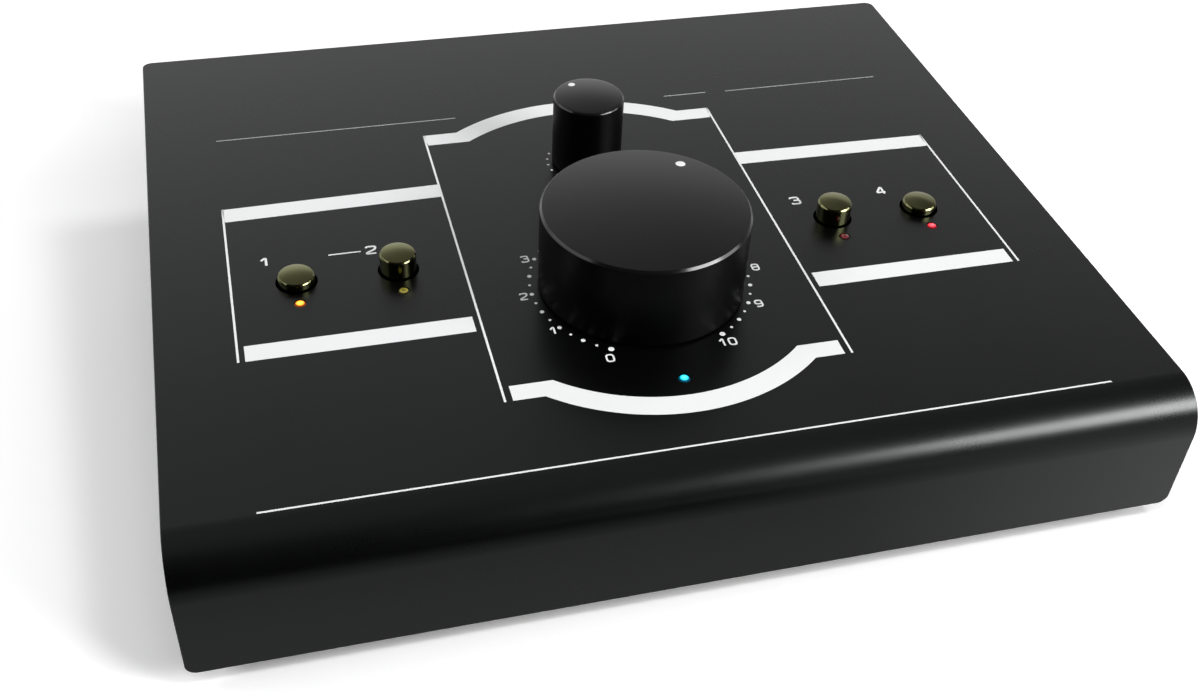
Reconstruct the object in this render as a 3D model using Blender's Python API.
"""A desktop studio monitor controller, built as separate pieces.

Metres, +Z up, +X to the right, +Y to the back. The origin is at the middle of the footprint, on the table.
The panel slopes up to the back. Pieces that belong to the panel are placed in its own frame: x to the right,
u up the slope from the dial centre, w out of the panel. An empty holds that frame.
"""

import math

import bmesh
import bpy
from mathutils import Matrix

# Fits between pieces.
seat_gap = 0.0003
cut_overrun = 0.004
weld_distance = 0.000001
smooth_below = math.radians(30)

# The folded cover.
panel_slope = math.radians(10.0)
cover_width = 0.215
cover_length = 0.1843
front_height = 0.0307
cover_sheet = 0.002
bend_radius = 0.0104
cover_corner_radius = 0.004
table_clearance = 0.004
bend_steps = 10
corner_steps = 5

# The tray under it.
tray_side_inset = 0.004
tray_rear_inset = 0.009
tray_sheet = 0.0012
tray_bend_radius = 0.0018
small_bend_steps = 3
foot_height = 0.005
foot_radius = 0.008
foot_taper = 0.0012
foot_inset = 0.016
foot_dimple_radius = 0.003
foot_dimple_depth = 0.0015

# Rails under the panel and the screws that hold them.
rail_size = 0.007
rail_front = -0.046
rail_back_inset = 0.0162
rail_screw_inset = 0.012
screw_radius = 0.0015
screw_head_radius = 0.0028
screw_head_height = 0.0018
screw_grip = 0.0055
screw_edge_share = 0.33
screw_crown_share = 0.25

# Dial centre and the volume control.
dial_from_front = 0.0641
knob_radius = 0.02345
knob_top = 0.0213
knob_rise = 0.0007
knob_edge = 0.00055
knob_lift = 0.0006
knob_wall = 0.003
knob_roof = 0.0045
knob_hub_radius = 0.0068
knob_hub_clearance = 0.0006
knob_spot_share = 0.81
knob_spot_radius = 0.00115
spot_depth = 0.0004
shaft_radius = 0.003
shaft_flat = 0.0015
shaft_reach_share = 0.72
volume_bush_radius = 0.0045
volume_bush_height = 0.0055
volume_pot_radius = 0.0125
volume_nut_width = 0.013
nut_height = 0.002
shaft_root = -0.010
knob_steps = 56
crown_steps = 3

# The headphone control. Its place is a share of the panel's length behind the dial.
phones_place_share = 0.42263
phones_knob_radius = 0.0087
phones_knob_top = 0.0195
phones_knob_rise = 0.0004
phones_knob_edge = 0.0004
phones_roof = 0.0035
phones_bush_radius = 0.0035
phones_bush_height = 0.0042
phones_pot_radius = 0.0082
phones_nut_width = 0.010
phones_recess_clearance = 0.0006
phones_spot_share = 0.727
phones_spot_radius = 0.0009
phones_steps = 40

# Angles of the two white spots, clockwise from straight back.
volume_spot_angle = math.radians(40.0)
phones_spot_angle = math.radians(-28.0)

# Push buttons, numbered from the left.
outer_button_inset = 0.0315
inner_button_inset = 0.0544
button_back = 0.0152
button_radius = 0.00416
button_hole_radius = 0.0047
button_up_height = 0.0053
button_travel = 0.00275
button_overtravel = 0.0005
button_length = 0.0083
button_crown = 0.0002
button_edge = 0.0002
button_latched = (True, False, False, True)
stem_width = 0.003
stem_grip = 0.004
plunger_width = 0.0052
plunger_length = 0.0062
switch_width = 0.009
switch_length = 0.013
switch_top = -0.009
spring_radius = 0.0019
spring_wire = 0.00022
spring_turns = 4
spring_flat_turns = 0.5
spring_turn_steps = 9
well_floor = 0.001
button_steps = 28

# Lamps. The row sits just in front of the buttons and the last lamp in front of the dial.
lamp_row = 0.0072
dial_lamp_front = 0.0338
lamp_radius = 0.0011
lamp_hole_radius = 0.0014
lamp_proud = 0.0002
lamp_edge_share = 0.5
lamp_flange_radius = 0.0017
lamp_flange_height = 0.001
lamp_leg = 0.0005
lamp_leg_pitch = 0.00127
lamp_steps = 14

# Boards. The control board ends at a share of the panel's length behind the dial.
board_thickness = 0.0016
board_drop = 0.0213
control_board_side_gap = 0.0115
control_board_front = -0.046
control_board_share = 0.49917
main_board_side_gap = 0.0055
main_board_length = 0.084
main_board_rear_gap = 0.003
post_height = 0.005
post_radius = 0.003
post_neck_radius = 0.0015
post_head_radius = 0.0023
post_head_height = 0.002
post_inset = 0.008
post_rear_inset = 0.019
post_steps = 16

# The row on the rear wall, from left to right as seen from the front, as shares of the tray's half width. The
# sockets of one kind stand side by side, so their widths follow from their places and the gap between them.
rocker_place_share = -0.87440
inlet_place_share = -0.73430
jack_place_shares = (-0.57971, -0.40580, -0.23188)
wide_socket_place_shares = (0.16425, 0.71014)

# Sockets on the rear wall.
socket_reach = 0.006
wide_socket_gap = 0.0035
wide_socket_flange_height = 0.0125
wide_socket_flange_sheet = 0.001
wide_socket_shell_inset = 0.00705
wide_socket_shell_height = 0.0083
wide_socket_shell_sheet = 0.0006
wide_socket_recess = 0.0008
wide_socket_slant_share = 0.12
wide_socket_depth = 0.012
wide_socket_corner = 0.0022
wide_socket_lug_radius = 0.0024
wide_socket_lug_reach = 0.0045
wide_socket_lug_inset = 0.003
jack_gap = 0.0024
jack_height = 0.0196
jack_depth = 0.026
jack_nose_radius = 0.0055
jack_nose_reach = 0.0034
jack_bore_radius = 0.0034
jack_bore_depth = 0.030
jack_nut_width = 0.014
inlet_width = 0.009
inlet_height = 0.011
inlet_depth = 0.0135
inlet_nose_radius = 0.0042
inlet_nose_reach = 0.001
inlet_bore_radius = 0.003
inlet_pin_radius = 0.001
inlet_bore_depth = 0.009
round_steps = 24

# The power rocker.
rocker_bezel_width = 0.015
rocker_bezel_height = 0.021
rocker_bezel_sheet = 0.0015
rocker_body_width = 0.0124
rocker_body_height = 0.0184
rocker_body_depth = 0.014
rocker_window_width = 0.0098
rocker_window_height = 0.0156
rocker_window_depth = 0.0105
rocker_half_length = 0.0070
rocker_axis_depth = 0.0030
rocker_face_reach = 0.0024
rocker_face_dip = 0.0011
rocker_belly = 0.0035
rocker_tilt = math.radians(9.0)
rocker_belly_start = math.radians(-150)
rocker_belly_end = math.radians(-30)
rocker_belly_steps = 6
rocker_height = 0.0300

# Ribbon cable and capacitor.
ribbon_width = 0.033
ribbon_thickness = 0.0009
ribbon_plug_length = 0.006
ribbon_plug_height = 0.005
ribbon_x = 0.030
ribbon_board_inset = 0.012
ribbon_run = 0.0093
ribbon_sag = 0.007
ribbon_steps = 14
capacitor_radius = 0.008
capacitor_height = 0.020
capacitor_edge = 0.0008
capacitor_place_share = 0.6
capacitor_gap = 0.003
capacitor_steps = 24

# The panel frame. Its empty sits at the dial centre, on the panel's upper face.
slope_cos = math.cos(panel_slope)
slope_sin = math.sin(panel_slope)
panel_front = -dial_from_front
panel_back = cover_length - dial_from_front
bend_centre_u = panel_front + bend_radius
front_most = bend_centre_u * slope_cos + bend_radius * slope_sin - bend_radius
rear_most = panel_back * slope_cos + cover_sheet * slope_sin
dial_y = -(front_most + rear_most) / 2
dial_z = table_clearance - (panel_front * slope_sin - front_height * slope_cos)
rear_wall_y = (rear_most - front_most) / 2 - tray_rear_inset
tray_bottom = foot_height + seat_gap
tray_floor = tray_bottom + tray_sheet
tray_half_width = cover_width / 2 - tray_side_inset
outer_button_x = cover_width / 2 - outer_button_inset
inner_button_x = cover_width / 2 - inner_button_inset
phones_u = panel_back * phones_place_share
control_board_back = panel_back * control_board_share
rail_back = panel_back - rail_back_inset
rocker_x = tray_half_width * rocker_place_share
inlet_x = tray_half_width * inlet_place_share
jack_places = [tray_half_width * share for share in jack_place_shares]
jack_width = jack_places[1] - jack_places[0] - jack_gap
wide_socket_places = [tray_half_width * share for share in wide_socket_place_shares]
wide_socket_flange_width = wide_socket_places[1] - wide_socket_places[0] - wide_socket_gap
wide_socket_shell_width = wide_socket_flange_width - 2 * wide_socket_shell_inset
wide_socket_lug_pitch = wide_socket_flange_width - 2 * wide_socket_lug_inset
board_top_w = -board_drop
main_board_bottom = tray_floor + seat_gap + post_height + seat_gap
main_board_top = main_board_bottom + board_thickness
wide_socket_z = main_board_top + seat_gap + wide_socket_flange_height / 2
jack_z = main_board_top + seat_gap + jack_height / 2
inlet_z = main_board_top + seat_gap + inlet_height / 2
wall_inside_y = rear_wall_y - tray_sheet
underside = -cover_sheet - seat_gap


def to_world(u, w):
    """The world y and z of a point of the panel frame."""
    return (dial_y + u * slope_cos - w * slope_sin, dial_z + u * slope_sin + w * slope_cos)


def clear_scene():
    for thing in list(bpy.data.objects):
        bpy.data.objects.remove(thing, do_unlink=True)


def material(name, colour, roughness, metallic=0.0):
    made = bpy.data.materials.get(name)
    if made is None:
        made = bpy.data.materials.new(name)
        made.use_nodes = True
        shader = made.node_tree.nodes["Principled BSDF"]
        shader.inputs["Base Color"].default_value = (*colour, 1.0)
        shader.inputs["Roughness"].default_value = roughness
        shader.inputs["Metallic"].default_value = metallic
        made.diffuse_color = (*colour, 1.0)
    return made


def satin_black():
    return material("satin_black_coat", (0.02, 0.021, 0.021), 0.4)


def knob_black():
    return material("knob_black", (0.02, 0.02, 0.021), 0.4)


def smoked_gloss():
    return material("smoked_gloss", (0.09, 0.09, 0.05), 0.12, 0.6)


def bare_steel():
    return material("bare_steel", (0.55, 0.55, 0.54), 0.35, 1.0)


def zinc_black():
    return material("zinc_black", (0.05, 0.05, 0.05), 0.4, 0.8)


def rubber():
    return material("rubber", (0.02, 0.02, 0.02), 0.8)


def socket_plastic():
    return material("socket_plastic", (0.03, 0.03, 0.03), 0.5)


def board_green():
    return material("board_green", (0.02, 0.16, 0.07), 0.5)


def switch_white():
    return material("switch_white", (0.75, 0.74, 0.70), 0.5)


def ribbon_grey():
    return material("ribbon_grey", (0.35, 0.36, 0.38), 0.6)


def lamp_lens(name, colour):
    return material(name, colour, 0.2)


def finish(name, mesh_data, look, parent=None, place=(0, 0, 0), turn=(0, 0, 0), smooth=True):
    """Turns a bmesh into a named object with its material, placed in its parent's frame."""
    bmesh.ops.recalc_face_normals(mesh_data, faces=mesh_data.faces)
    mesh = bpy.data.meshes.new(name)
    mesh_data.to_mesh(mesh)
    mesh_data.free()
    if smooth:
        mesh.shade_smooth()
        mesh.set_sharp_from_angle(angle=smooth_below)
    mesh.materials.append(look)
    made = bpy.data.objects.new(name, mesh)
    bpy.context.scene.collection.objects.link(made)
    made.parent = parent
    made.location = place
    made.rotation_euler = turn
    return made


def as_cutter(made):
    made.hide_render = True
    made.display_type = "WIRE"
    return made


def combine(target, tool, operation):
    """Adds a Boolean to the target. The tool is a guide that the build leaves out."""
    as_cutter(tool)
    step = target.modifiers.new(operation.lower(), "BOOLEAN")
    step.operation = operation
    step.solver = "EXACT"
    step.object = tool


def cut(target, tool):
    combine(target, tool, "DIFFERENCE")


def join(target, tool):
    combine(target, tool, "UNION")


def turned(profile, steps):
    """A closed outline of (radius, height) points turned about the Z axis."""
    mesh_data = bmesh.new()
    verts = [mesh_data.verts.new((radius, 0, height)) for radius, height in profile]
    edges = [mesh_data.edges.new((verts[i - 1], verts[i])) for i in range(len(verts))]
    bmesh.ops.spin(
        mesh_data, geom=verts + edges, axis=(0, 0, 1), cent=(0, 0, 0),
        angle=math.tau, steps=steps, use_merge=True,
    )
    bmesh.ops.remove_doubles(mesh_data, verts=mesh_data.verts, dist=weld_distance)
    on_axis = [
        edge for edge in mesh_data.edges
        if all(math.hypot(vert.co.x, vert.co.y) < weld_distance for vert in edge.verts)
    ]
    bmesh.ops.delete(mesh_data, geom=on_axis, context="EDGES")
    loose = [edge for edge in mesh_data.edges if not edge.link_faces]
    bmesh.ops.delete(mesh_data, geom=loose, context="EDGES")
    return mesh_data


def prism(outline, low, high, mesh_data=None):
    """An outline in the XY plane, extruded from one height to another."""
    mesh_data = mesh_data or bmesh.new()
    verts = [mesh_data.verts.new((x, y, low)) for x, y in outline]
    face = mesh_data.faces.new(verts)
    grown = bmesh.ops.extrude_face_region(mesh_data, geom=[face])
    moved = [item for item in grown["geom"] if isinstance(item, bmesh.types.BMVert)]
    bmesh.ops.translate(mesh_data, verts=moved, vec=(0, 0, high - low))
    return mesh_data


def block(size, centre=(0, 0, 0), mesh_data=None):
    """A box of a given size about its centre."""
    mesh_data = mesh_data or bmesh.new()
    made = bmesh.ops.create_cube(mesh_data, size=1.0)
    bmesh.ops.scale(mesh_data, verts=made["verts"], vec=size)
    bmesh.ops.translate(mesh_data, verts=made["verts"], vec=centre)
    return mesh_data


def circle_outline(radius, steps, centre=(0, 0)):
    turns = [math.tau * step / steps for step in range(steps)]
    return [(centre[0] + radius * math.cos(turn), centre[1] + radius * math.sin(turn)) for turn in turns]


def hexagon(width, turn=0.0):
    """A hexagon of a given width across its flats. Unturned, two of its corners lie on the X axis."""
    return arc((0, 0), width / math.sqrt(3), turn, turn + math.tau, 6)[1:]


def across_x(outline, left, right):
    """An outline of world (y, z) points, extruded along X."""
    mesh_data = prism(outline, left, right)
    upright = Matrix(((0, 0, 1, 0), (1, 0, 0, 0), (0, 1, 0, 0), (0, 0, 0, 1)))
    bmesh.ops.transform(mesh_data, matrix=upright, verts=mesh_data.verts)
    return mesh_data


def along_y(outline, front, back):
    """An outline of world (x, z) points, extruded along Y."""
    made = prism([(x, -z) for x, z in outline], front, back)
    upright = Matrix(((1, 0, 0, 0), (0, 0, 1, 0), (0, -1, 0, 0), (0, 0, 0, 1)))
    bmesh.ops.transform(made, matrix=upright, verts=made.verts)
    return made


def gathered(parts):
    """Several meshes in one."""
    together = bmesh.new()
    for part in parts:
        scratch = bpy.data.meshes.new("scratch")
        part.to_mesh(scratch)
        part.free()
        together.from_mesh(scratch)
        bpy.data.meshes.remove(scratch)
    return together


def arc(centre, radius, start, end, steps):
    """Points of an arc from one angle to another."""
    turns = [start + (end - start) * step / steps for step in range(steps + 1)]
    return [(centre[0] + radius * math.cos(turn), centre[1] + radius * math.sin(turn)) for turn in turns]


def d_outline(radius, flat):
    """A round shaft's section with one flat, a given distance from the axis."""
    half = math.acos(flat / radius)
    return arc((0, 0), radius, half, math.tau - half, round_steps)


def crown(radius, top, edge, rise, edge_steps=1):
    """The upper outline of a knob or cap, from its side to its middle: a bevelled edge and a slight dome."""
    points = arc((radius - edge, top - rise - edge), edge, 0, math.pi / 2, edge_steps)
    inner = radius - edge
    for step in range(1, crown_steps):
        share = step / crown_steps
        points.append((inner * (1 - share), top - rise * (1 - share) ** 2))
    points.append((0, top))
    return points


def make_top_cover(frame):
    """One sheet: the sloped panel, a large bend and the front face square to the panel."""
    centre = (panel_front + bend_radius, -bend_radius)
    outer = arc(centre, bend_radius, math.pi / 2, math.pi, bend_steps)
    inner = arc(centre, bend_radius - cover_sheet, math.pi, math.pi / 2, bend_steps)
    outline = [(panel_back, 0), *outer, (panel_front, -front_height)]
    outline += [(panel_front + cover_sheet, -front_height), *inner, (panel_back, -cover_sheet)]
    sheet = across_x(outline, -cover_width / 2, cover_width / 2)
    corners = []
    for edge in sheet.edges:
        first, second = (vert.co for vert in edge.verts)
        short = abs((first - second).length - cover_sheet) < weld_distance
        at_end = min(first.y, second.y) > panel_back - cover_sheet
        at_end = at_end or max(first.z, second.z) < cover_sheet - front_height
        if short and at_end:
            corners.append(edge)
    bmesh.ops.bevel(sheet, geom=corners, offset=cover_corner_radius, segments=corner_steps, profile=0.5,
                    affect="EDGES")
    cover = finish("top_cover", sheet, satin_black(), frame)
    holes = bmesh.new()
    places = [(x, button_back, button_hole_radius, button_steps) for x in button_places()]
    places += [(x, y, lamp_hole_radius, lamp_steps) for x, y in lamp_places()]
    places += [(0, 0, volume_bush_radius + seat_gap, round_steps)]
    places += [(0, phones_u, phones_bush_radius + seat_gap, round_steps)]
    for x, u, radius, steps in places:
        prism(circle_outline(radius, steps, (x, u)), -cover_sheet - cut_overrun, cut_overrun, holes)
    cut(cover, finish("panel_holes_cutter", holes, satin_black(), frame, smooth=False))
    return cover


def button_places():
    return (-outer_button_x, -inner_button_x, inner_button_x, outer_button_x)


def lamp_places():
    return [(x, lamp_row) for x in button_places()] + [(0, -dial_lamp_front)]


def tray_outline(inset, top):
    """The tray's side outline in world (y, z): its front leans with the cover's front face."""
    front_u = panel_front + cover_sheet + seat_gap + inset
    bottom = tray_bottom + inset
    rear = rear_wall_y - inset
    bottom_w = (bottom - dial_z - front_u * slope_sin) / slope_cos
    roof_w = underside + top
    rear_u = (rear - dial_y + roof_w * slope_sin) / slope_cos
    knee_w = -bend_radius - seat_gap + top
    knee_u = bend_centre_u + seat_gap + inset
    return [
        to_world(front_u, bottom_w), (rear, bottom), to_world(rear_u, roof_w),
        to_world(knee_u, roof_w), to_world(front_u, knee_w),
    ]


def make_chassis_tray():
    """An open box of sheet: floor, leaning front wall, sloped sides and a rear wall with cut-outs."""
    form = across_x(tray_outline(0, 0), -tray_half_width, tray_half_width)
    lowest = tray_bottom + weld_distance
    folds = [edge for edge in form.edges if max(vert.co.z for vert in edge.verts) < lowest]
    bmesh.ops.bevel(form, geom=folds, offset=tray_bend_radius, segments=small_bend_steps, profile=0.5,
                    affect="EDGES")
    tray = finish("chassis_tray", form, satin_black())
    inner_half = tray_half_width - tray_sheet
    inside = across_x(tray_outline(tray_sheet, cut_overrun), -inner_half, inner_half)
    cut(tray, finish("tray_inside_cutter", inside, satin_black(), smooth=False))
    low = wall_inside_y - cut_overrun
    high = rear_wall_y + cut_overrun
    openings = [circle_outline(jack_nose_radius + seat_gap, round_steps, (x, jack_z)) for x in jack_places]
    openings.append(circle_outline(inlet_nose_radius + seat_gap, round_steps, (inlet_x, inlet_z)))
    openings.append(rectangle(rocker_body_width + 2 * seat_gap, rocker_body_height + 2 * seat_gap,
                              (rocker_x, rocker_height)))
    for x in wide_socket_places:
        openings.append(wide_socket_outline(seat_gap, (x, wide_socket_z)))
        for side in (-1, 1):
            lug = (x + side * wide_socket_lug_pitch / 2, wide_socket_z)
            openings.append(circle_outline(wide_socket_lug_radius + seat_gap, post_steps, lug))
    holes = gathered([along_y(outline, low, high) for outline in openings])
    cut(tray, finish("rear_holes_cutter", holes, satin_black(), smooth=False))
    side_holes = gathered([side_hole(place) for place in side_screw_places()])
    cut(tray, finish("side_holes_cutter", side_holes, satin_black(), smooth=False))
    return tray


def rectangle(width, height, centre=(0, 0)):
    x, z = centre
    return [
        (x - width / 2, z - height / 2), (x + width / 2, z - height / 2),
        (x + width / 2, z + height / 2), (x - width / 2, z + height / 2),
    ]


def wide_socket_outline(growth, centre):
    """The D-shaped shell's section: the upper side is longer, the ends slant in and the corners are round."""
    half_height = wide_socket_shell_height / 2 + growth
    top = wide_socket_shell_width / 2 + growth
    bottom = top - wide_socket_shell_height * wide_socket_slant_share
    corner = wide_socket_corner + growth
    points = []
    for side, up, half in ((1, -1, bottom), (1, 1, top), (-1, 1, top), (-1, -1, bottom)):
        middle = (centre[0] + side * (half - corner), centre[1] + up * (half_height - corner))
        start = {(1, -1): -math.pi / 2, (1, 1): 0, (-1, 1): math.pi / 2, (-1, -1): math.pi}[(side, up)]
        points += arc(middle, corner, start, start + math.pi / 2, small_bend_steps)
    return points


def side_screw_places():
    """World (side, y, z) of the four screws, on the rails' axes."""
    rail_w = underside - rail_size / 2
    places = (rail_front + rail_screw_inset, rail_back - rail_screw_inset)
    return [(side, *to_world(u, rail_w)) for side in (-1, 1) for u in places]


def side_hole(place):
    """The drill for one side screw, through the tray's side and the rail."""
    side, y, z = place
    inner = tray_half_width - tray_sheet - seat_gap - rail_size - cut_overrun
    outer = tray_half_width + cut_overrun
    low, high = (inner, outer) if side > 0 else (-outer, -inner)
    return across_x(circle_outline(screw_radius + seat_gap, post_steps, (y, z)), low, high)


def make_rails(frame):
    """A square bar along each side, just under the panel, drilled for the side screws."""
    for name, side in (("left_rail", -1), ("right_rail", 1)):
        outer = tray_half_width - tray_sheet - seat_gap
        centre = (side * (outer - rail_size / 2), (rail_front + rail_back) / 2, underside - rail_size / 2)
        bar = finish(name, block((rail_size, rail_back - rail_front, rail_size)), bare_steel(), frame, centre,
                     smooth=False)
        drill = gathered([side_hole(place) for place in side_screw_places() if place[0] == side])
        cut(bar, finish(name + "_cutter", drill, bare_steel(), smooth=False))


def make_side_screws():
    """Round-headed screws from outside, through the tray's side into a rail."""
    for number, (side, y, z) in enumerate(side_screw_places(), 1):
        head = crown(screw_head_radius, screw_head_height, screw_head_height * screw_edge_share,
                     screw_head_height * screw_crown_share)
        profile = [(0, -screw_grip), (screw_radius, -screw_grip), (screw_radius, 0)]
        profile += [(screw_head_radius, 0), *head]
        mesh_data = turned(profile, post_steps)
        place = (side * (tray_half_width + seat_gap), y, z)
        finish(f"side_screw_{number}", mesh_data, zinc_black(), None, place, (0, side * math.pi / 2, 0))


def make_feet():
    """Four round rubber feet with a dimple, stuck under the tray."""
    half = tray_half_width - foot_inset
    front = to_world(panel_front, -front_height)[0] + foot_inset
    back = rear_wall_y - foot_inset
    number = 0
    for y in (front, back):
        for x in (-half, half):
            number += 1
            profile = [
                (0, foot_dimple_depth), (foot_dimple_radius, foot_dimple_depth), (foot_dimple_radius, 0),
                (foot_radius - foot_taper, 0), (foot_radius, foot_height), (0, foot_height),
            ]
            finish(f"foot_{number}", turned(profile, round_steps), rubber(), None, (x, y, 0))


def cut_spot(knob, name, frame, place, radius, share, angle, spot, top, rise):
    """Sinks the shallow round dimple that holds the white spot. The dome is lower there than in its middle."""
    reach = radius * share
    centre = (reach * math.sin(angle), reach * math.cos(angle))
    floor = top - rise * share ** 2 - spot_depth
    tool = prism(circle_outline(spot, post_steps, centre), floor, top + cut_overrun)
    cut(knob, finish(name, tool, knob_black(), frame, place, smooth=False))


def make_shaft(name, frame, place, top, bush_top):
    """A round shaft with a flat along the part that the knob grips."""
    shaft = finish(name, prism(circle_outline(shaft_radius, round_steps), shaft_root, top), bare_steel(), frame,
                   place)
    tall = top + cut_overrun
    low = bush_top + seat_gap
    beyond = shaft_radius + cut_overrun
    width = 2 * beyond
    tool = block((beyond - shaft_flat, width, tall - low), ((beyond + shaft_flat) / 2, 0, (tall + low) / 2))
    cut(shaft, finish(name + "_flat_cutter", tool, bare_steel(), frame, place, smooth=False))


def make_volume_control(frame):
    """The large knob, hollow underneath with a hub on the shaft, and the pot and nut that carry it."""
    hub_bottom = volume_bush_height + knob_hub_clearance
    ceiling = knob_top - knob_roof
    profile = [
        (0, hub_bottom), (knob_hub_radius, hub_bottom), (knob_hub_radius, ceiling),
        (knob_radius - knob_wall, ceiling), (knob_radius - knob_wall, knob_lift), (knob_radius, knob_lift),
        *crown(knob_radius, knob_top, knob_edge, knob_rise),
    ]
    knob = finish("volume_knob", turned(profile, knob_steps), knob_black(), frame)
    shaft_top = knob_top * shaft_reach_share
    bore = prism(d_outline(shaft_radius + seat_gap, shaft_flat + seat_gap), hub_bottom - cut_overrun,
                 shaft_top + seat_gap)
    cut(knob, finish("volume_bore_cutter", bore, knob_black(), frame, smooth=False))
    cut_spot(knob, "volume_spot_cutter", frame, (0, 0, 0), knob_radius, knob_spot_share, volume_spot_angle,
             knob_spot_radius, knob_top, knob_rise)
    make_shaft("volume_shaft", frame, (0, 0, 0), shaft_top, volume_bush_height)
    make_pot("volume_pot", frame, (0, 0, 0), volume_pot_radius, volume_bush_radius, volume_bush_height)
    make_nut("volume_nut", frame, (0, 0, seat_gap), volume_nut_width, volume_bush_radius, nut_height)


def make_phones_control(frame):
    """The small knob. It is solid but for the recess that clears its nut."""
    place = (0, phones_u, 0)
    recess = phones_nut_width / math.sqrt(3) + phones_recess_clearance
    ceiling = phones_bush_height + phones_recess_clearance
    profile = [
        (0, ceiling), (recess, ceiling), (recess, knob_lift), (phones_knob_radius, knob_lift),
        *crown(phones_knob_radius, phones_knob_top, phones_knob_edge, phones_knob_rise),
    ]
    knob = finish("phones_knob", turned(profile, phones_steps), knob_black(), frame, place)
    shaft_top = phones_knob_top - phones_roof
    bore = prism(d_outline(shaft_radius + seat_gap, shaft_flat + seat_gap), ceiling - cut_overrun,
                 shaft_top + seat_gap)
    cut(knob, finish("phones_bore_cutter", bore, knob_black(), frame, place, smooth=False))
    cut_spot(knob, "phones_spot_cutter", frame, place, phones_knob_radius, phones_spot_share, phones_spot_angle,
             phones_spot_radius, phones_knob_top, phones_knob_rise)
    make_shaft("phones_shaft", frame, place, shaft_top, phones_bush_height)
    make_pot("phones_pot", frame, place, phones_pot_radius, phones_bush_radius, phones_bush_height)
    make_nut("phones_nut", frame, (0, phones_u, seat_gap), phones_nut_width, phones_bush_radius, nut_height)


def make_pot(name, frame, place, radius, bush_radius, bush_top):
    """A round potentiometer between the panel and the board, with a bush that passes the panel."""
    bore = shaft_radius + seat_gap
    bore_floor = shaft_root - seat_gap
    bottom = board_top_w + seat_gap
    profile = [
        (0, bore_floor), (bore, bore_floor), (bore, bush_top), (bush_radius, bush_top),
        (bush_radius, underside), (radius, underside), (radius, bottom), (0, bottom),
    ]
    finish(name, turned(profile, knob_steps // 2), bare_steel(), frame, place)


def make_nut(name, parent, place, width, hole_radius, height, turn=(0, 0, 0), spin=0.0):
    """A hexagon nut. The spin turns it about its own axis."""
    nut = finish(name, prism(hexagon(width, spin), 0, height), bare_steel(), parent, place, turn, smooth=False)
    tool = prism(circle_outline(hole_radius + seat_gap, round_steps), -cut_overrun, height + cut_overrun)
    cut(nut, finish(name + "_cutter", tool, bare_steel(), parent, place, turn, smooth=False))


def make_button(frame, number, x, latched):
    """A domed cap on a square stem, with the return spring in the well of its switch."""
    drop = button_travel if latched else 0
    place = (x, button_back, -drop)
    top = button_up_height
    bottom = top - button_length
    profile = [(0, bottom), (button_radius, bottom), *crown(button_radius, top, button_edge, button_crown)]
    cap = finish(f"button_cap_{number}", turned(profile, button_steps), smoked_gloss(), frame, place)
    socket_width = stem_width + 2 * seat_gap
    socket_top = bottom + stem_grip + seat_gap
    socket = block((socket_width, socket_width, socket_top - bottom + cut_overrun),
                   (0, 0, (socket_top + bottom - cut_overrun) / 2))
    cut(cap, finish(f"cap_socket_cutter_{number}", socket, smoked_gloss(), frame, place, smooth=False))
    plunger_top = switch_top + button_travel + button_overtravel
    plunger_bottom = plunger_top - plunger_length
    stem_top = bottom + stem_grip
    stem = finish(f"button_stem_{number}",
                  prism(rectangle(plunger_width, plunger_width), plunger_bottom, plunger_top),
                  switch_white(), frame, place, smooth=False)
    rod = prism(rectangle(stem_width, stem_width), (plunger_top + plunger_bottom) / 2, stem_top)
    join(stem, finish(f"stem_rod_guide_{number}", rod, switch_white(), frame, place, smooth=False))
    body_bottom = board_top_w + seat_gap
    body_place = (x, button_back, 0)
    box = prism(rectangle(switch_width, switch_length), body_bottom, switch_top)
    body = finish(f"switch_body_{number}", box, switch_white(), frame, body_place, smooth=False)
    well_width = plunger_width + 2 * seat_gap
    floor = body_bottom + well_floor
    well = prism(rectangle(well_width, well_width), floor, switch_top + cut_overrun)
    cut(body, finish(f"switch_well_cutter_{number}", well, switch_white(), frame, body_place, smooth=False))
    make_spring(f"button_spring_{number}", frame, body_place, floor + seat_gap,
                plunger_bottom - drop - seat_gap)


def make_spring(name, frame, place, low, high):
    """One unbroken coil with flat end turns."""
    start = low + spring_wire
    rise = high - low - 2 * spring_wire
    count = spring_turns * spring_turn_steps
    points = []
    for step in range(count + 1):
        share = step / count
        climbed = (share * spring_turns - spring_flat_turns) / (spring_turns - 2 * spring_flat_turns)
        eased = min(max(climbed, 0), 1)
        turn = math.tau * spring_turns * share
        climb = start + rise * eased
        points.append((spring_radius * math.cos(turn), spring_radius * math.sin(turn), climb))
    curve = bpy.data.curves.new(name, "CURVE")
    curve.dimensions = "3D"
    curve.bevel_depth = spring_wire
    curve.bevel_resolution = 1
    curve.use_fill_caps = True
    line = curve.splines.new("POLY")
    line.points.add(len(points) - 1)
    for point, place_on_line in zip(line.points, points):
        point.co = (*place_on_line, 1)
    curve.materials.append(bare_steel())
    made = bpy.data.objects.new(name, curve)
    bpy.context.scene.collection.objects.link(made)
    made.parent = frame
    made.location = place


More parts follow.
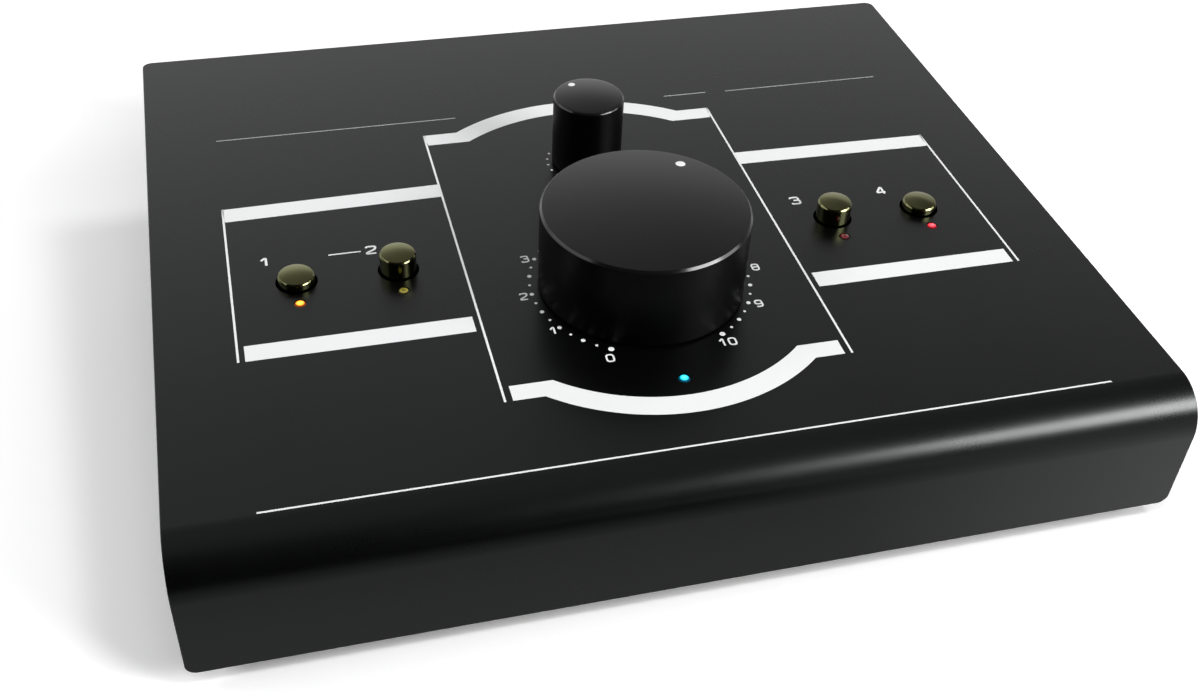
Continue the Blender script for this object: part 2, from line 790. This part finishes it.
def make_lamps(frame):
    """Small lenses that end flush with the panel, on two legs down to the board."""
    colours = (
        ("amber_lens", (0.9, 0.5, 0.02)), ("amber_lens", (0.9, 0.5, 0.02)),
        ("red_lens", (0.7, 0.03, 0.04)), ("red_lens", (0.7, 0.03, 0.04)), ("blue_lens", (0.02, 0.6, 0.8)),
    )
    flange_top = underside
    flange_bottom = flange_top - lamp_flange_height
    for number, ((x, u), look) in enumerate(zip(lamp_places(), colours), 1):
        profile = [
            (0, flange_bottom), (lamp_flange_radius, flange_bottom), (lamp_flange_radius, flange_top),
            (lamp_radius, flange_top),
            *crown(lamp_radius, lamp_proud, lamp_radius * lamp_edge_share, lamp_proud, 2),
        ]
        place = (x, u, 0)
        lamp = finish(f"lamp_{number}", turned(profile, lamp_steps), lamp_lens(*look), frame, place)
        legs = bmesh.new()
        foot = board_top_w + seat_gap
        root = flange_bottom + lamp_flange_height / 2
        for side in (-1, 1):
            prism(rectangle(lamp_leg, lamp_leg, (side * lamp_leg_pitch, 0)), foot, root, legs)
        join(lamp, finish(f"lamp_legs_guide_{number}", legs, lamp_lens(*look), frame, place, smooth=False))


def make_control_board(frame):
    centre = (0, (control_board_front + control_board_back) / 2, board_top_w - board_thickness / 2)
    width = 2 * (tray_half_width - control_board_side_gap)
    size = (width, control_board_back - control_board_front, board_thickness)
    finish("control_board", block(size), board_green(), frame, centre, smooth=False)


def post_places():
    half = tray_half_width - main_board_side_gap - post_inset
    edge = wall_inside_y - main_board_rear_gap
    places = (edge - main_board_length + post_inset, edge - post_rear_inset)
    return [(x, y) for y in places for x in (-half, half)]


def make_main_board():
    back = wall_inside_y - main_board_rear_gap
    centre = (0, back - main_board_length / 2, (main_board_bottom + main_board_top) / 2)
    width = 2 * (tray_half_width - main_board_side_gap)
    sheet = block((width, main_board_length, board_thickness))
    board = finish("main_board", sheet, board_green(), None, centre, smooth=False)
    drill = bmesh.new()
    for place in post_places():
        prism(circle_outline(post_neck_radius + seat_gap, post_steps, place), main_board_bottom - cut_overrun,
              main_board_top + cut_overrun, drill)
    cut(board, finish("main_board_cutter", drill, board_green(), smooth=False))
    for number, (x, y) in enumerate(post_places(), 1):
        low = tray_floor + seat_gap
        shoulder = main_board_bottom - seat_gap
        lock = main_board_top + seat_gap
        profile = [
            (0, low), (post_radius, low), (post_radius, shoulder), (post_neck_radius, shoulder),
            (post_neck_radius, lock), (post_head_radius, lock), (post_neck_radius, lock + post_head_height),
            (0, lock + post_head_height),
        ]
        finish(f"board_post_{number}", turned(profile, post_steps), switch_white(), None, (x, y, 0))


def make_wide_socket(name, x):
    """A 25-way socket: a D-shaped shell through the rear wall, its flange and lugs, and the moulding behind."""
    flange_back = wall_inside_y - seat_gap
    body_back = flange_back - wide_socket_flange_sheet - wide_socket_depth
    shell_end = rear_wall_y + socket_reach
    centre = (x, wide_socket_z)
    flange = rectangle(wide_socket_flange_width, wide_socket_flange_height, centre)
    socket = finish(name, along_y(flange, flange_back - wide_socket_flange_sheet, flange_back), bare_steel(),
                    smooth=False)
    middle = flange_back - wide_socket_flange_sheet / 2
    join(socket, finish(name + "_shell_guide", along_y(wide_socket_outline(0, centre), middle, shell_end),
                        bare_steel(), smooth=False))
    moulding = rectangle(wide_socket_shell_width + 2 * wide_socket_corner, wide_socket_flange_height - seat_gap,
                         centre)
    join(socket, finish(name + "_moulding_guide", along_y(moulding, body_back, middle), bare_steel(),
                        smooth=False))
    lugs = []
    for side in (-1, 1):
        lug = (x + side * wide_socket_lug_pitch / 2, wide_socket_z)
        lugs.append(along_y(circle_outline(wide_socket_lug_radius, 6, lug), middle,
                            rear_wall_y + wide_socket_lug_reach))
    join(socket, finish(name + "_lugs_guide", gathered(lugs), bare_steel(), smooth=False))
    mouth = along_y(wide_socket_outline(-wide_socket_shell_sheet, centre), shell_end - wide_socket_recess,
                    shell_end + cut_overrun)
    cut(socket, finish(name + "_mouth_cutter", mouth, bare_steel(), smooth=False))


def make_jack(name, x):
    """A jack socket: a moulded body behind the wall, a threaded nose through it and its nut outside."""
    front = wall_inside_y - seat_gap
    body = rectangle(jack_width, jack_height, (x, jack_z))
    jack = finish(name, along_y(body, front - jack_depth, front), socket_plastic(), smooth=False)
    nose_end = rear_wall_y + jack_nose_reach
    nose = along_y(circle_outline(jack_nose_radius, round_steps, (x, jack_z)), front - jack_depth / 2, nose_end)
    join(jack, finish(name + "_nose_guide", nose, socket_plastic(), smooth=False))
    bore = along_y(circle_outline(jack_bore_radius, round_steps, (x, jack_z)), nose_end - jack_bore_depth,
                   nose_end + cut_overrun)
    cut(jack, finish(name + "_bore_cutter", bore, socket_plastic(), smooth=False))
    place = (x, rear_wall_y + seat_gap, jack_z)
    make_nut(name + "_nut", None, place, jack_nut_width, jack_nose_radius, nut_height, (-math.pi / 2, 0, 0),
             math.pi / 6)


def make_power_inlet():
    """A round low-voltage inlet with a centre pin."""
    front = wall_inside_y - seat_gap
    body = rectangle(inlet_width, inlet_height, (inlet_x, inlet_z))
    inlet = finish("power_inlet", along_y(body, front - inlet_depth, front), socket_plastic(), smooth=False)
    nose_end = rear_wall_y + inlet_nose_reach
    centre = (inlet_x, inlet_z)
    nose = along_y(circle_outline(inlet_nose_radius, round_steps, centre), front - inlet_depth / 2, nose_end)
    join(inlet, finish("inlet_nose_guide", nose, socket_plastic(), smooth=False))
    ring = turned([
        (inlet_pin_radius, -inlet_bore_depth), (inlet_bore_radius, -inlet_bore_depth),
        (inlet_bore_radius, cut_overrun), (inlet_pin_radius, cut_overrun),
    ], round_steps)
    tool = finish("inlet_bore_cutter", ring, socket_plastic(), None, (inlet_x, nose_end, inlet_z),
                  (-math.pi / 2, 0, 0), smooth=False)
    cut(inlet, tool)


def make_power_rocker():
    """A housing clipped in the rear wall and a rocker that tilts about a pivot along X."""
    centre = (rocker_x, rocker_height)
    bezel_front = rear_wall_y + seat_gap
    bezel_back = bezel_front + rocker_bezel_sheet
    bezel = along_y(rectangle(rocker_bezel_width, rocker_bezel_height, centre), bezel_front, bezel_back)
    housing = finish("rocker_housing", bezel, socket_plastic(), smooth=False)
    body = along_y(rectangle(rocker_body_width, rocker_body_height, centre), rear_wall_y - rocker_body_depth,
                   bezel_front + rocker_bezel_sheet / 2)
    join(housing, finish("rocker_body_guide", body, socket_plastic(), smooth=False))
    window = along_y(rectangle(rocker_window_width, rocker_window_height, centre),
                     bezel_back - rocker_window_depth, bezel_back + cut_overrun)
    cut(housing, finish("rocker_window_cutter", window, socket_plastic(), smooth=False))
    half_width = rocker_window_width / 2 - seat_gap
    belly = arc((0, 0), rocker_belly, rocker_belly_start, rocker_belly_end, rocker_belly_steps)
    outline = [(rocker_half_length, rocker_face_reach), (0, rocker_face_reach - rocker_face_dip)]
    outline += [(-rocker_half_length, rocker_face_reach), (-rocker_half_length, 0), *belly,
                (rocker_half_length, 0)]
    shape = across_x([(y, z) for z, y in outline], -half_width, half_width)
    place = (rocker_x, bezel_back - rocker_axis_depth, rocker_height)
    finish("power_rocker", shape, socket_plastic(), None, place, (rocker_tilt, 0, 0), smooth=False)


def make_ribbon_cable():
    """A flat cable with a plug at each end: down from the control board and back to the main board."""
    top_w = board_top_w - board_thickness - seat_gap
    half = ribbon_plug_length / 2
    plug_bottom = top_w - ribbon_plug_height
    top_u = control_board_back - ribbon_board_inset
    upper = [(top_u + half, top_w), (top_u - half, top_w), (top_u - half, plug_bottom),
             (top_u - ribbon_thickness / 2, plug_bottom)]
    upper_back = [(top_u + ribbon_thickness / 2, plug_bottom), (top_u + half, plug_bottom)]
    low = main_board_top + seat_gap
    high = low + ribbon_plug_height
    start = to_world(top_u, plug_bottom)
    y = start[0] + ribbon_run
    lower = [(y - ribbon_thickness / 2, high), (y - half, high), (y - half, low), (y + half, low),
             (y + half, high), (y + ribbon_thickness / 2, high)]
    front_side, back_side = ribbon_sides(start, (y, high))
    outline = [to_world(u, w) for u, w in upper] + front_side[1:-1] + lower + back_side[1:-1][::-1]
    outline += [to_world(u, w) for u, w in upper_back]
    shape = across_x(outline, ribbon_x - ribbon_width / 2, ribbon_x + ribbon_width / 2)
    finish("ribbon_cable", shape, ribbon_grey(), smooth=False)


def ribbon_sides(start, end):
    """The two faces of the cable between its plugs, which bows towards the front."""
    front_side, back_side = [], []
    for step in range(ribbon_steps + 1):
        share = step / ribbon_steps
        bow = ribbon_sag * math.sin(math.pi * share) ** 2
        y = start[0] + (end[0] - start[0]) * (1 - math.cos(math.pi * share)) / 2 - bow
        z = start[1] + (end[1] - start[1]) * share
        front_side.append((y - ribbon_thickness / 2, z))
        back_side.append((y + ribbon_thickness / 2, z))
    return front_side, back_side


def make_capacitor():
    """A can on the main board, in the space between the control board and the sockets."""
    low = main_board_top + seat_gap
    profile = [(0, 0), (capacitor_radius, 0)]
    profile += arc((capacitor_radius - capacitor_edge, capacitor_height - capacitor_edge), capacitor_edge,
                   0, math.pi / 2, small_bend_steps)
    profile.append((0, capacitor_height))
    board_back = to_world(control_board_back, board_top_w - board_thickness)[0]
    place = (tray_half_width * capacitor_place_share, board_back + capacitor_gap + capacitor_radius, low)
    finish("main_capacitor", turned(profile, capacitor_steps), socket_plastic(), None, place)


def main():
    clear_scene()
    frame = bpy.data.objects.new("panel_frame", None)
    bpy.context.scene.collection.objects.link(frame)
    frame.location = (0, dial_y, dial_z)
    frame.rotation_euler = (panel_slope, 0, 0)
    make_top_cover(frame)
    make_chassis_tray()
    make_rails(frame)
    make_side_screws()
    make_feet()
    make_volume_control(frame)
    make_phones_control(frame)
    for number, (x, latched) in enumerate(zip(button_places(), button_latched), 1):
        make_button(frame, number, x, latched)
    make_lamps(frame)
    make_control_board(frame)
    make_main_board()
    for name, x in zip(("input_socket", "output_socket"), wide_socket_places):
        make_wide_socket(name, x)
    for name, x in zip(("left_jack", "right_jack", "headphone_jack"), jack_places):
        make_jack(name, x)
    make_power_inlet()
    make_power_rocker()
    make_ribbon_cable()
    make_capacitor()
    print("panel frame", [round(value, 6) for value in (0, dial_y, dial_z)])


main()
